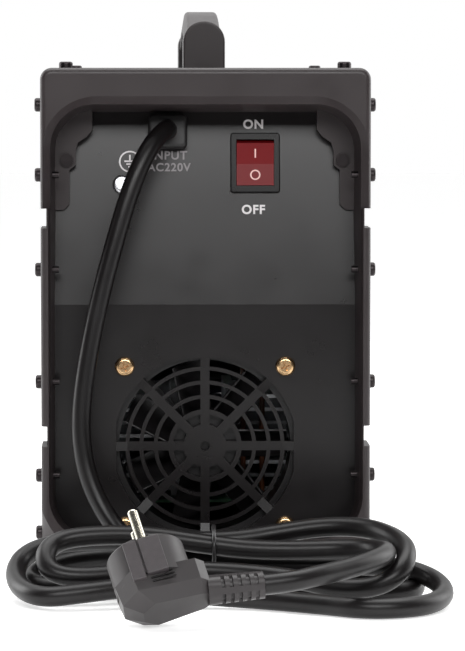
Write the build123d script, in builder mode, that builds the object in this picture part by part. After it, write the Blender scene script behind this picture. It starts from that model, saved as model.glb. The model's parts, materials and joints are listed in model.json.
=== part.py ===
from build123d import *
from math import cos, pi, radians, sin, tan
import os

# Stick welding inverter. The rear panel, with the mains cord, faces -Y and the
# output sockets face +Y. Z is up, with the origin under the middle of the case.

os.makedirs("parts", exist_ok=True)

# Case, mm
case_width = 167.0
case_length = 320.0
case_bottom = 8.5
case_top = 255.6
case_corner = 6.0
rim_lower_corner, rim_lower_depth = 30.0, 12.0
notch_inner_x = 80.2
cover_inset = 2.8
sheet = 1.2
cover_end = 152.0           # half the length of the sheet metal cover
cover_split = 40.0          # height where the cover meets the base tray
flange_length = 30.0        # length of a moulded end frame outside the cover

# End frames
rim_radius = 3.0
rim_chamfer = 4.0
hood_end = 184.7            # lower end of the hood's side arms
side_rim_top = 174.8
side_rim_bottom = 74.3
foot_rim_top = 64.0
mouth_bottom = 16.4
tab_front = 131.0           # how far out the panel tabs stand

# Rear and front panels
panel_set_back = 24.0
panel_thickness = 2.5
bend_height = 134.7
panel_slant = 8.0
panel_half_width = 82.0

# Fan, on an 82.5 mm square of screws
fan_height = 61.6
fan_size = 92.0
fan_depth = 25.0
fan_hole_spacing = 82.5
fan_bore = 88.5
rotor_radius = 42.8
hub_radius = 18.0
blade_count = 7
spindle_radius = 1.45
grille_recess = 2.5
grille_thickness = 3.0
grille_radius = 47.3
grille_half_side = 45.6
grille_hub = 11.1
grille_rings = [(39.0, 41.0), (31.8, 33.8), (24.4, 26.4), (16.4, 18.9)]
spoke_width = 4.7

# Rocker switch
switch_x = 26.0
switch_height = 207.0
bezel_width, bezel_height, bezel_depth = 25.5, 31.0, 1.8
switch_body_width, switch_body_height, switch_body_depth = 21.4, 26.8, 22.0
rocker_width = 19.1
rocker_half = 11.8
rocker_travel = 18.0
rocker_pivot_depth = 3.0

# Mains cord and plug
cord_radius = 4.8
plug_origin = (-31.6, -327.6, 31.7)
plug_core_radius = 18.2
plug_core_depth = 19.0
plug_base_depth, plug_waist_depth = 12.5, 7.0
pin_radius, pin_length, pin_spacing = 2.4, 19.0, 19.0
pin_root_radius, pin_root_depth = 2.0, 8.0

# Output sockets, dial and display on the front
socket_x, socket_height = 38.0, 50.0
socket_bore = 6.6
dial_height = 105.0
dial_radius = 17.0
bush_radius = 4.5
window_height = 195.0

half_length = case_length / 2
mid_height = (case_bottom + case_top) / 2
cover_half_width = case_width / 2 - cover_inset
cover_corner = case_corner - cover_inset
cover_top = case_top - cover_inset
cover_bottom = case_bottom + cover_inset
tray_floor = cover_bottom + sheet
panel_y = -(half_length - panel_set_back)
panel_inner = panel_y + panel_thickness
grille_front = panel_y + grille_recess
grille_back = grille_front + grille_thickness


def section(y):
    """Plane across the machine at y, drawn in x and z; extruding by less than 0 goes to +Y."""
    return Plane.XZ.offset(-y)


def ring_outline(inset):
    """The case's rounded outline, moved in by inset, at the middle height."""
    with Locations((0, mid_height)):
        RectangleRounded(
            case_width - 2 * inset, case_top - case_bottom - 2 * inset, case_corner - inset
        )


def span_outline(half_width, bottom, top, radius):
    """Rounded outline between two heights."""
    with Locations((0, (bottom + top) / 2)):
        RectangleRounded(2 * half_width, top - bottom, radius)


def rim_outline(lower_radius):
    """The case's outline with its own radius for the two lower corners."""
    with BuildSketch(mode=Mode.PRIVATE) as rim:
        with Locations((0, mid_height)):
            Rectangle(case_width, case_top - case_bottom)
        fillet(rim.vertices().group_by(Axis.Y)[-1], case_corner)
        fillet(rim.vertices().group_by(Axis.Y)[0], lower_radius)
    add(rim.sketch)


def arch_outline(half_width, bottom, top, radius):
    """Outline with square lower corners and rounded upper ones."""
    with BuildSketch(mode=Mode.PRIVATE) as arch:
        with Locations((0, (bottom + top) / 2)):
            Rectangle(2 * half_width, top - bottom)
        fillet(arch.vertices().group_by(Axis.Y)[-1], radius)
    add(arch.sketch)


# Panel plane above the bend: x across, y up the slope, z out of the machine
slope = Plane(
    origin=(0, panel_y, bend_height),
    x_dir=(1, 0, 0),
    z_dir=(0, -cos(radians(panel_slant)), sin(radians(panel_slant))),
)
outward = Axis(slope.origin, slope.z_dir)


def up_slope(z):
    """Distance up the slope for a height z."""
    return (z - bend_height) / cos(radians(panel_slant))


slope_run = (case_top - bend_height) * tan(radians(panel_slant))

# Shape of the frame's mouth, used to cut the frame and to trim the panel
with BuildPart() as mouth:
    with BuildSketch(section(-half_length)):
        span_outline(79.7, mouth_bottom, 240.0, 22.0)
    with BuildSketch(section(-half_length + rim_chamfer)):
        span_outline(78.6, mouth_bottom - 0.6, 237.2, 22.0)
    loft()
    with BuildSketch(section(-half_length + rim_chamfer)):
        span_outline(78.6, mouth_bottom - 0.6, 237.2, 22.0)
    with BuildSketch(section(-110)):
        span_outline(75.0, mouth_bottom - 2.6, 231.6, 19.0)
    loft()

with BuildPart() as hood_flare:
    with BuildSketch(section(-half_length)):
        arch_outline(83.0, hood_end, 241.3, 28.3)
    with BuildSketch(section(-half_length + rim_chamfer)):
        arch_outline(78.6, hood_end, 237.2, 22.0)
    loft()

# The rim's lower corners sweep round at the mouth and come out square at the cover
with BuildPart() as rim_sweep:
    with BuildSketch(section(-half_length)):
        rim_outline(rim_lower_corner)
    with BuildSketch(section(-half_length + rim_lower_depth)):
        rim_outline(case_corner)
    loft()
    with BuildSketch(section(-half_length + rim_lower_depth)):
        ring_outline(0)
    extrude(amount=-flange_length)

# Slab that follows the bend, and everything that lies behind it
with BuildPart() as bent_slab:
    with BuildSketch(Plane.YZ):
        Polygon(
            (panel_y, 0), (panel_inner, 0), (panel_inner, bend_height),
            (panel_inner + slope_run, case_top), (panel_y + slope_run, case_top),
            (panel_y, bend_height),
            align=None,
        )
    extrude(amount=panel_half_width, both=True)

with BuildPart() as behind_panel:
    with BuildSketch(Plane.YZ):
        Polygon(
            (panel_inner, 0), (-90, 0), (-90, case_top),
            (panel_inner + slope_run, case_top), (panel_inner, bend_height),
            align=None,
        )
    extrude(amount=cover_half_width - sheet, both=True)

fan_holes = [
    (x * fan_hole_spacing / 2, fan_height + z * fan_hole_spacing / 2)
    for x in (-1, 1)
    for z in (-1, 1)
]

# Rear panel, moulded with the fan grille
earth_x, earth_height = -42.4, 196.0
gland_x, gland_bottom, gland_top = -19.0, 214.0, 231.5
gland_centre = up_slope((gland_bottom + gland_top) / 2)
gland_width, gland_height = 20.0, up_slope(gland_top) - up_slope(gland_bottom)
gland_stem_radius = 7.0
tab_screw_x, tab_screw_height = 70.8, 208.6

with BuildPart() as rear_panel:
    add(bent_slab.part)
    with BuildSketch(section(panel_inner)):
        with Locations((0, fan_height)):
            RectangleRounded(98, 98, 8)
    extrude(amount=-(grille_back - panel_inner))
    with BuildSketch(section(panel_y)):
        with Locations((0, fan_height)):
            Circle(grille_radius)
            Rectangle(2 * grille_half_side, 2 * grille_half_side, mode=Mode.INTERSECT)
    extrude(amount=-(grille_back - panel_y), mode=Mode.SUBTRACT)
    with BuildSketch(section(grille_front)):
        with Locations((0, fan_height)):
            for ring_inner, ring_outer in grille_rings:
                Circle(ring_outer)
                Circle(ring_inner, mode=Mode.SUBTRACT)
            Circle(grille_hub)
            for turn in range(4):
                Rectangle(2 * grille_radius, spoke_width, rotation=45 * turn)
            Circle(2.5, mode=Mode.SUBTRACT)
            Circle(grille_radius, mode=Mode.INTERSECT)
    extrude(amount=-grille_thickness)
    for turn in range(8):
        angle = radians(45 * turn)
        reach = grille_half_side if turn % 2 == 0 else grille_radius
        ramp = Plane(
            origin=(0, grille_front, fan_height),
            x_dir=(cos(angle), 0, sin(angle)),
            z_dir=(sin(angle), 0, -cos(angle)),
        )
        with BuildSketch(ramp):
            Polygon((40, 0), (reach, grille_recess), (reach + 1, grille_recess), (reach + 1, 0),
                    align=None)
        extrude(amount=spoke_width / 2, both=True)
    with BuildSketch(section(panel_y)):
        with Locations(*fan_holes):
            Circle(2.0)
    extrude(amount=-(grille_back - panel_y), mode=Mode.SUBTRACT)
    with BuildSketch(slope):
        with Locations((switch_x, up_slope(switch_height))):
            Rectangle(switch_body_width, switch_body_height)
        with Locations((gland_x, gland_centre)):
            Circle(gland_stem_radius)
        with Locations((earth_x, up_slope(earth_height))):
            Circle(2.0)
    extrude(amount=-panel_thickness - 1, mode=Mode.SUBTRACT)
    with BuildSketch(section(panel_y)):
        with Locations((-tab_screw_x, tab_screw_height), (tab_screw_x, tab_screw_height)):
            Circle(1.5)
    extrude(amount=-slope_run, mode=Mode.SUBTRACT)
    add(mouth.part, mode=Mode.INTERSECT)
rear_panel.part.label = "rear_panel"
export_step(rear_panel.part, "parts/rear_panel.step")

# Front panel: the same slab, turned to face +Y
with BuildPart() as front_blank:
    add(bent_slab.part)
    add(mouth.part, mode=Mode.INTERSECT)

with BuildPart() as front_panel:
    mirror(front_blank.part, about=Plane.XZ)
    with BuildSketch(section(-panel_inner)):
        with Locations((-socket_x, socket_height), (socket_x, socket_height)):
            Circle(16.0)
        with Locations((0, dial_height)):
            Circle(bush_radius)
    extrude(amount=panel_thickness, both=True, mode=Mode.SUBTRACT)
    with BuildSketch(section(-panel_inner)):
        with Locations((0, window_height)):
            RectangleRounded(56, 26, 3)
        with Locations((-20, 165), (20, 165)):
            Circle(2.5)
    extrude(amount=20, both=True, mode=Mode.SUBTRACT)
    with BuildSketch(section(-panel_y - slope_run)):
        with Locations((-tab_screw_x, tab_screw_height), (tab_screw_x, tab_screw_height)):
            Circle(1.5)
    extrude(amount=-20, mode=Mode.SUBTRACT)
front_panel.part.label = "front_panel"
export_step(front_panel.part, "parts/front_panel.step")

# Frame screws: six down each side and one on top near each corner
side_screw_heights = (236.9, 201.4, 153.2, 95.9, 48.0, 18.6)
top_screw_x = 70.7
frame_screw_y = half_length - 15.0
screw_head_radius, screw_head_height = 3.5, 3.2
screw_shank_radius, screw_shank_length = 1.7, 9.0


def screw_seats():
    """Place and outward direction of each frame screw, in x and z."""
    seats = []
    for side in (-1, 1):
        for height in side_screw_heights:
            seats.append((side * case_width / 2, height, side, 0.0))
        seats.append((side * top_screw_x, case_top, 0.0, 1.0))
    return seats


def seat_plane(seat, y):
    """Plane on a screw seat, with its normal out of the case."""
    x, z, across, rise = seat
    return Plane(origin=(x, y, z), x_dir=(0, 1, 0), z_dir=(across, 0, rise))


with BuildPart() as frame_screw:
    Cylinder(screw_head_radius, screw_head_height, align=(Align.CENTER, Align.CENTER, Align.MIN))
    fillet(frame_screw.faces().sort_by(Axis.Z)[-1].edges(), 1.2)
    Cylinder(screw_shank_radius, screw_shank_length, align=(Align.CENTER, Align.CENTER, Align.MAX))

with BuildPart() as rear_frame_screws:
    with Locations(*[seat_plane(seat, -frame_screw_y) for seat in screw_seats()]):
        add(frame_screw.part)

with BuildPart() as frame_screws:
    add(rear_frame_screws.part)
    mirror(rear_frame_screws.part, about=Plane.XZ)
frame_screws.part.label = "frame_screws"
export_step(frame_screws.part, "parts/frame_screws.step")

# Rear frame: flange outside the cover, sleeve inside it, and the drafted mouth
with BuildPart() as rear_frame:
    with BuildSketch(section(-half_length)):
        ring_outline(0)
    extrude(amount=-flange_length)
    fillet(rear_frame.faces().sort_by(Axis.Y)[0].edges(), rim_radius)
    add(rim_sweep.part, mode=Mode.INTERSECT)
    with BuildSketch(section(-cover_end)):
        ring_outline(cover_inset)
    extrude(amount=-flange_length, mode=Mode.SUBTRACT)
    with BuildSketch(section(-cover_end)):
        ring_outline(cover_inset + sheet)
    extrude(amount=-(cover_end - 110))
    add(mouth.part, mode=Mode.SUBTRACT)
    add(hood_flare.part, mode=Mode.SUBTRACT)
    for side in (-1, 1):
        notch_bands = ((side_rim_top, hood_end), (foot_rim_top, side_rim_bottom))
        for band_bottom, band_top in notch_bands:
            with BuildSketch(section(-half_length)):
                with Locations((side * (case_width / 2 + notch_inner_x) / 2, (band_bottom + band_top) / 2)):
                    Rectangle(case_width / 2 - notch_inner_x, band_top - band_bottom)
            extrude(amount=-flange_length, mode=Mode.SUBTRACT)
        with BuildSketch(section(-tab_front)):
            with BuildLine():
                Polyline(
                    (side * 77.5, 234), (side * 57.6, 234), (side * 57.6, 224),
                    (side * 60.5, 220.5), (side * 65.0, 217.5), (side * 66.2, 213),
                    (side * 66.2, 206), (side * 69.4, 203.5), (side * 69.4, 186),
                    (side * 72.4, 183), (side * 77.5, 183), (side * 77.5, 234),
                )
            make_face()
        extrude(amount=-16)
    add(behind_panel.part, mode=Mode.SUBTRACT)
    add(rear_panel.part, mode=Mode.SUBTRACT)
    add(rear_frame_screws.part, mode=Mode.SUBTRACT)
    with BuildSketch(section(-tab_front)):
        with Locations((-tab_screw_x, tab_screw_height), (tab_screw_x, tab_screw_height)):
            Circle(1.5)
    extrude(amount=-20, mode=Mode.SUBTRACT)
rear_frame.part.label = "rear_frame"
export_step(rear_frame.part, "parts/rear_frame.step")

with BuildPart() as front_frame:
    mirror(rear_frame.part, about=Plane.XZ)
    add(front_panel.part, mode=Mode.SUBTRACT)
front_frame.part.label = "front_frame"
export_step(front_frame.part, "parts/front_frame.step")

# Screws that hold each panel to its frame's tabs
with BuildPart() as rear_panel_screws:
    with BuildSketch(section(-tab_front)):
        with Locations((-tab_screw_x, tab_screw_height), (tab_screw_x, tab_screw_height)):
            Circle(3.4)
    extrude(amount=1.8)
    with BuildSketch(section(-tab_front)):
        with Locations((-tab_screw_x, tab_screw_height), (tab_screw_x, tab_screw_height)):
            Circle(1.5)
    extrude(amount=-11)

with BuildPart() as panel_screws:
    add(rear_panel_screws.part)
    mirror(rear_panel_screws.part, about=Plane.XZ)
panel_screws.part.label = "panel_screws"
export_step(panel_screws.part, "parts/panel_screws.step")

# Cover: one sheet over the top and down both sides
handle_leg_y = 100.0
handle_screw_spacing = 12.0
handle_screw_y = [
    side * handle_leg_y + shift
    for side in (-1, 1)
    for shift in (-handle_screw_spacing / 2, handle_screw_spacing / 2)
]
louvre_pitch, louvre_count = 11.0, 8

with BuildPart() as cover_shell:
    with BuildSketch(section(-cover_end)):
        ring_outline(cover_inset)
        with Locations((0, mid_height)):
            RectangleRounded(
                2 * (cover_half_width - sheet), cover_top - cover_bottom - 2 * sheet,
                cover_corner - sheet, mode=Mode.SUBTRACT,
            )
            with Locations((0, cover_split / 2 - mid_height)):
                Rectangle(case_width, cover_split, mode=Mode.SUBTRACT)
    extrude(amount=-2 * cover_end)
    with BuildSketch(Plane.YZ):
        with Locations((60, 118), (-20, 118)):
            with GridLocations(1, louvre_pitch, 1, louvre_count):
                SlotOverall(44, 4)
    extrude(amount=case_width, both=True, mode=Mode.SUBTRACT)
    with BuildSketch(Plane.XY.offset(cover_top)):
        with Locations(*[(0, y) for y in handle_screw_y]):
            Circle(2.0)
    extrude(amount=-2 * sheet, mode=Mode.SUBTRACT)
    add(frame_screws.part, mode=Mode.SUBTRACT)
cover_shell.part.label = "cover_shell"
export_step(cover_shell.part, "parts/cover_shell.step")

# Base tray: bottom sheet with turned-up sides and an inner lip behind the cover
foot_x, foot_y = 50.0, 122.0
foot_places = [(x * foot_x, y * foot_y) for x in (-1, 1) for y in (-1, 1)]
lip_top = 56.0

with BuildPart() as base_tray:
    with BuildSketch(section(-cover_end)):
        ring_outline(cover_inset)
        with Locations((0, mid_height)):
            RectangleRounded(
                2 * (cover_half_width - sheet), cover_top - cover_bottom - 2 * sheet,
                cover_corner - sheet, mode=Mode.SUBTRACT,
            )
            with Locations((0, (cover_split + case_top + 1) / 2 - mid_height)):
                Rectangle(case_width, case_top + 1 - cover_split, mode=Mode.SUBTRACT)
    extrude(amount=-2 * cover_end)
    with BuildSketch(section(-105)):
        lip_x = cover_half_width - 1.5 * sheet
        with Locations((-lip_x, (38.5 + lip_top) / 2), (lip_x, (38.5 + lip_top) / 2)):
            Rectangle(sheet, lip_top - 38.5)
    extrude(amount=-210)
    with BuildSketch(Plane.XY):
        with Locations(*foot_places):
            Circle(2.0)
    extrude(amount=20, mode=Mode.SUBTRACT)
    add(frame_screws.part, mode=Mode.SUBTRACT)
base_tray.part.label = "base_tray"
export_step(base_tray.part, "parts/base_tray.step")

# Rubber feet and their screws and nuts
with BuildPart() as feet:
    with BuildSketch(Plane.XY):
        with Locations(*foot_places):
            Circle(9.0)
    extrude(amount=cover_bottom, taper=-4)
    with BuildSketch(Plane.XY):
        with Locations(*foot_places):
            Circle(4.5)
    extrude(amount=5, mode=Mode.SUBTRACT)
    with BuildSketch(Plane.XY):
        with Locations(*foot_places):
            Circle(2.0)
    extrude(amount=20, mode=Mode.SUBTRACT)
feet.part.label = "feet"
export_step(feet.part, "parts/feet.step")

with BuildPart() as foot_screws:
    with BuildSketch(Plane.XY.offset(2.4)):
        with Locations(*foot_places):
            Circle(3.8)
    extrude(amount=2.6)
    with BuildSketch(Plane.XY.offset(5)):
        with Locations(*foot_places):
            Circle(2.0)
    extrude(amount=tray_floor)
foot_screws.part.label = "foot_screws"
export_step(foot_screws.part, "parts/foot_screws.step")

# Carrying handle: two lobes joined by an arched grip
lobe_width, lobe_length, lobe_top = 21.7, 28.0, 280.0
grip_top_width, grip_bottom_width, grip_depth = 16.6, 20.8, 12.6
grip_ends, grip_middle = 269.5, 280.7

with BuildPart() as handle:
    for leg_y in (-handle_leg_y, handle_leg_y):
        with BuildSketch(section(leg_y - lobe_length / 2)):
            arch_outline(lobe_width / 2, cover_top, lobe_top, lobe_width / 2 - 0.1)
        extrude(amount=-lobe_length)
    lobe_rims = handle.faces().filter_by(Axis.Y).edges()
    fillet(lobe_rims.filter_by(lambda edge: edge.center().Z > cover_top + 1), 1.2)
    with BuildLine():
        grip_line = ThreePointArc(
            (0, -handle_leg_y, grip_ends), (0, 0, grip_middle), (0, handle_leg_y, grip_ends)
        )
    with BuildSketch(
        Plane(origin=grip_line @ 0, z_dir=grip_line % 0, x_dir=(1, 0, 0))
    ) as grip_section:
        Polygon(
            (-grip_top_width / 2, -grip_depth / 2), (grip_top_width / 2, -grip_depth / 2),
            (grip_bottom_width / 2, grip_depth / 2), (-grip_bottom_width / 2, grip_depth / 2),
            align=None,
        )
        fillet(grip_section.vertices(), 2.0)
    sweep(path=grip_line)
    with BuildSketch(Plane.XY.offset(cover_top)):
        with Locations(*[(0, y) for y in handle_screw_y]):
            Circle(2.0)
    extrude(amount=12, mode=Mode.SUBTRACT)
handle.part.label = "handle"
export_step(handle.part, "parts/handle.step")

with BuildPart() as handle_screws:
    with BuildSketch(Plane.XY.offset(cover_top - sheet)):
        with Locations(*[(0, y) for y in handle_screw_y]):
            Circle(3.6)
    extrude(amount=-2.4)
    with BuildSketch(Plane.XY.offset(cover_top - sheet)):
        with Locations(*[(0, y) for y in handle_screw_y]):
            Circle(2.0)
    extrude(amount=sheet + 10)
handle_screws.part.label = "handle_screws"
export_step(handle_screws.part, "parts/handle_screws.step")

# Fan: housing with struts and bearing tube
fan_front = grille_back
fan_rear = fan_front + fan_depth
fan_centre = (0, fan_height)
strut_depth = 3.0
tube_outer, tube_inner = 4.5, 3.5
stator_radius = 13.0

with BuildPart() as fan_housing:
    with BuildSketch(section(fan_front)):
        with Locations(fan_centre):
            RectangleRounded(fan_size, fan_size, 6)
            Circle(fan_bore / 2, mode=Mode.SUBTRACT)
        with Locations(*fan_holes):
            Circle(2.0, mode=Mode.SUBTRACT)
    extrude(amount=-fan_depth)
    with BuildSketch(section(fan_rear)):
        with Locations(fan_centre):
            Circle(hub_radius)
            for turn in (45, 135):
                Rectangle(fan_bore + 1, 6, rotation=turn)
    extrude(amount=strut_depth)
    with BuildSketch(section(fan_rear - strut_depth)):
        with Locations(fan_centre):
            Circle(tube_outer)
    extrude(amount=16)
    with BuildSketch(section(fan_rear - strut_depth + 1)):
        with Locations(fan_centre):
            Circle(tube_inner)
    extrude(amount=18, mode=Mode.SUBTRACT)
fan_housing.part.label = "fan_housing"
export_step(fan_housing.part, "parts/fan_housing.step")

with BuildPart() as fan_bearings:
    for bearing_y in (fan_rear - strut_depth, fan_rear - strut_depth - 13):
        with BuildSketch(section(bearing_y)):
            with Locations(fan_centre):
                Circle(tube_inner)
                Circle(1.5, mode=Mode.SUBTRACT)
        extrude(amount=3)
fan_bearings.part.label = "fan_bearings"
export_step(fan_bearings.part, "parts/fan_bearings.step")

with BuildPart() as fan_stator:
    with BuildSketch(section(fan_rear - strut_depth - 2)):
        with Locations(fan_centre):
            for turn in (0, 90):
                Rectangle(2 * stator_radius, 6, rotation=turn)
            Circle(7)
            Circle(tube_outer, mode=Mode.SUBTRACT)
    extrude(amount=10)
    with BuildSketch(section(fan_rear - strut_depth - 4)):
        with Locations(fan_centre):
            Circle(stator_radius)
            Circle(stator_radius - 2, mode=Mode.SUBTRACT)
    extrude(amount=6)
fan_stator.part.label = "fan_stator"
export_step(fan_stator.part, "parts/fan_stator.step")

rotor_front = fan_front + 2.0
with BuildPart() as fan_shaft:
    with BuildSketch(section(rotor_front + 1.8)):
        with Locations(fan_centre):
            Circle(spindle_radius)
    extrude(amount=-(fan_rear - strut_depth - rotor_front - 2.3))
fan_shaft.part.label = "fan_shaft"
export_step(fan_shaft.part, "parts/fan_shaft.step")

with BuildPart() as fan_rotor:
    with BuildSketch(section(rotor_front)):
        with Locations(fan_centre):
            Circle(hub_radius)
    extrude(amount=-17)
    fillet(fan_rotor.faces().sort_by(Axis.Y)[0].edges(), 1.2)
    with BuildSketch(section(rotor_front + 1.8)):
        with Locations(fan_centre):
            Circle(hub_radius - 1.6)
    extrude(amount=-20, mode=Mode.SUBTRACT)
    for blade in range(blade_count):
        angle = 2 * pi * blade / blade_count
        root = hub_radius - 0.8
        blade_plane = Plane(
            origin=(root * cos(angle), rotor_front + 9.5, fan_height + root * sin(angle)),
            x_dir=(sin(angle), 0, -cos(angle)),
            z_dir=(cos(angle), 0, sin(angle)),
        )
        with BuildSketch(blade_plane):
            with BuildLine():
                blade_line = ThreePointArc((-7.2, -7.5), (-1.6, 1.2), (7.2, 7.5))
                offset(blade_line, amount=0.8, side=Side.BOTH)
            make_face()
        extrude(amount=rotor_radius - root + 3)
    with BuildSketch(section(rotor_front)):
        with Locations(fan_centre):
            Circle(rotor_radius)
    extrude(amount=-20, mode=Mode.INTERSECT)
    with BuildSketch(section(rotor_front + 1.8)):
        with Locations(fan_centre):
            Circle(hub_radius - 1.6)
    extrude(amount=-20, mode=Mode.SUBTRACT)
fan_rotor.part.label = "fan_rotor"
export_step(fan_rotor.part, "parts/fan_rotor.step")

dome_radius, dome_height = 5.15, 2.5
with BuildPart() as fan_screws:
    with BuildSketch(section(panel_y)):
        with Locations(*fan_holes):
            Circle(2.0)
    extrude(amount=-(fan_rear - panel_y + 4))
    with BuildSketch(section(panel_y)):
        with Locations(*fan_holes):
            Circle(dome_radius)
    extrude(amount=dome_height)
    fillet(fan_screws.faces().filter_by(Axis.Y).group_by(Axis.Y)[0].edges(), 2.3)
    with BuildSketch(section(panel_y - dome_height)):
        with Locations(*fan_holes):
            Rectangle(4.6, 0.9, rotation=20)
            Rectangle(0.9, 4.6, rotation=20)
    extrude(amount=-1.3, taper=12, mode=Mode.SUBTRACT)
fan_screws.part.label = "fan_screws"
export_step(fan_screws.part, "parts/fan_screws.step")

# Rocker switch, set into the sloping part of the rear panel
switch_y = up_slope(switch_height)
switch_opening_width, switch_opening_height = 19.5, 24.0
terminal_side, terminal_up, terminal_length = 5.0, 7.0, 9.0

with BuildPart() as switch_housing:
    with BuildSketch(slope):
        with Locations((switch_x, switch_y)):
            RectangleRounded(bezel_width, bezel_height, 1.6)
    extrude(amount=bezel_depth)
    fillet(switch_housing.faces().sort_by(outward)[-1].edges(), 0.7)
    with BuildSketch(slope):
        with Locations((switch_x, switch_y)):
            Rectangle(switch_body_width, switch_body_height)
    extrude(amount=-switch_body_depth)
    with BuildSketch(slope.offset(bezel_depth)):
        with Locations((switch_x, switch_y)):
            Rectangle(switch_opening_width, switch_opening_height)
    extrude(amount=-(bezel_depth + 10), mode=Mode.SUBTRACT)
    pivot_line = Plane(
        origin=slope.from_local_coords((switch_x, switch_y, -rocker_pivot_depth)),
        x_dir=slope.y_dir, z_dir=slope.x_dir,
    )
    with BuildSketch(pivot_line):
        Circle(1.3)
    extrude(amount=rocker_width / 2 + 0.8, both=True, mode=Mode.SUBTRACT)
switch_housing.part.label = "switch_housing"
export_step(switch_housing.part, "parts/switch_housing.step")

# Rocker: a shallow V on top, ends drafted by half the travel, resting at OFF
half_travel = rocker_travel / 2
rest_plane = Plane(
    origin=pivot_line.origin,
    x_dir=slope.y_dir * cos(radians(half_travel)) + slope.z_dir * sin(radians(half_travel)),
    z_dir=slope.x_dir,
)
end_height = rocker_pivot_depth + 4.0
end_y = (rocker_half - end_height * sin(radians(half_travel))) / cos(radians(half_travel))
skirt_y = rocker_half / cos(radians(half_travel))
valley_height = end_height - end_y * tan(radians(half_travel))

with BuildPart() as switch_rocker:
    with BuildSketch(rest_plane):
        Polygon(
            (-end_y, end_height), (0, valley_height), (end_y, end_height),
            (skirt_y, 0), (skirt_y - 0.6, -3), (-skirt_y + 0.6, -3), (-skirt_y, 0),
            align=None,
        )
    extrude(amount=rocker_width / 2, both=True)
    with BuildSketch(rest_plane):
        Circle(1.25)
    extrude(amount=rocker_width / 2 + 0.7, both=True)
switch_rocker.part.label = "switch_rocker"
export_step(switch_rocker.part, "parts/switch_rocker.step")

with BuildPart() as switch_terminals:
    with BuildSketch(slope.offset(-switch_body_depth)):
        with Locations(*[(switch_x + x, switch_y + y) for x in (-terminal_side, terminal_side)
                         for y in (-terminal_up, terminal_up)]):
            Rectangle(0.8, 6.3)
    extrude(amount=-terminal_length)
switch_terminals.part.label = "switch_terminals"
export_step(switch_terminals.part, "parts/switch_terminals.step")

# Cord gland: a square clamp outside, its stem through the panel, a nut inside
gland_depth = 8.0
stem_length = 13.0
with BuildPart() as cord_gland:
    with BuildSketch(slope):
        with Locations((gland_x, gland_centre)):
            RectangleRounded(gland_width, gland_height, 3)
    extrude(amount=gland_depth)
    fillet(cord_gland.faces().sort_by(outward)[-1].edges(), 2)
    with BuildSketch(slope):
        with Locations((gland_x, gland_centre)):
            Circle(gland_stem_radius)
    extrude(amount=-stem_length)
    with BuildSketch(slope.offset(gland_depth)):
        with Locations((gland_x, gland_centre)):
            Circle(cord_radius)
    extrude(amount=-(gland_depth + stem_length), mode=Mode.SUBTRACT)
cord_gland.part.label = "cord_gland"
export_step(cord_gland.part, "parts/cord_gland.step")

with BuildPart() as gland_nut:
    with BuildSketch(slope.offset(-panel_thickness)):
        with Locations((gland_x, gland_centre)):
            RegularPolygon(8.6, 6, rotation=30)
            Circle(gland_stem_radius, mode=Mode.SUBTRACT)
    extrude(amount=-4)
gland_nut.part.label = "gland_nut"
export_step(gland_nut.part, "parts/gland_nut.step")

with BuildPart() as earth_screw:
    with BuildSketch(slope):
        with Locations((earth_x, up_slope(earth_height))):
            Circle(4.9)
    extrude(amount=2.6)
    fillet(earth_screw.faces().sort_by(outward)[-1].edges(), 1.8)
    with BuildSketch(slope):
        with Locations((earth_x, up_slope(earth_height))):
            Circle(2.0)
    extrude(amount=-12)
earth_screw.part.label = "earth_screw"
export_step(earth_screw.part, "parts/earth_screw.step")

# The M4 nuts: on the foot screws, the fan screws and the earth screw
nut_size, nut_height, thread_radius = 4.0, 3.2, 2.0
with BuildPart() as hex_nuts:
    with BuildSketch(Plane.XY.offset(tray_floor)):
        with Locations(*foot_places):
            RegularPolygon(nut_size, 6)
            Circle(thread_radius, mode=Mode.SUBTRACT)
    extrude(amount=nut_height)
    with BuildSketch(section(fan_rear)):
        with Locations(*fan_holes):
            RegularPolygon(nut_size, 6)
            Circle(thread_radius, mode=Mode.SUBTRACT)
    extrude(amount=-nut_height)
    with BuildSketch(slope.offset(-panel_thickness)):
        with Locations((earth_x, up_slope(earth_height))):
            RegularPolygon(nut_size, 6)
            Circle(thread_radius, mode=Mode.SUBTRACT)
    extrude(amount=-nut_height)
hex_nuts.part.label = "hex_nuts"
export_step(hex_nuts.part, "parts/hex_nuts.step")

# Mains cord: out of the gland, down the rear panel, onto the floor and into the hank
gland_face = slope.offset(gland_depth).from_local_coords((gland_x, gland_centre, 0))
cord_route = [
    gland_face,
    slope.offset(gland_depth + 11).from_local_coords((gland_x, gland_centre, 0)),
    Vector(-26.0, -151.5, 219.0),
    Vector(-33.0, -157.5, 207.0),
    Vector(-39.5, -161.0, 190.0),
    Vector(-46.0, -163.5, 168.0),
    Vector(-52.5, -165.5, 144.0),
    Vector(-58.0, -167.5, 119.0),
    Vector(-62.0, -169.5, 95.0),
    Vector(-63.5, -171.5, 73.0),
    Vector(-60.5, -174.0, 52.0),
    Vector(-52.5, -178.5, 34.0),
    Vector(-40.5, -186.0, 19.5),
    Vector(-25.0, -196.0, 11.0),
    Vector(-6.0, -207.0, 8.0),
    Vector(13.0, -218.0, 7.5),
]


def tangent_arc_radii(route):
    """Radius at each corner: 0.45 of the shorter run over the tangent of half the turn."""
    radii = []
    for before, corner, after in zip(route, route[1:], route[2:]):
        half_turn = radians((corner - before).get_angle(after - corner) / 2)
        shorter = min((corner - before).length, (after - corner).length)
        radii.append(0.45 * shorter / tan(half_turn))
    return radii


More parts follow.
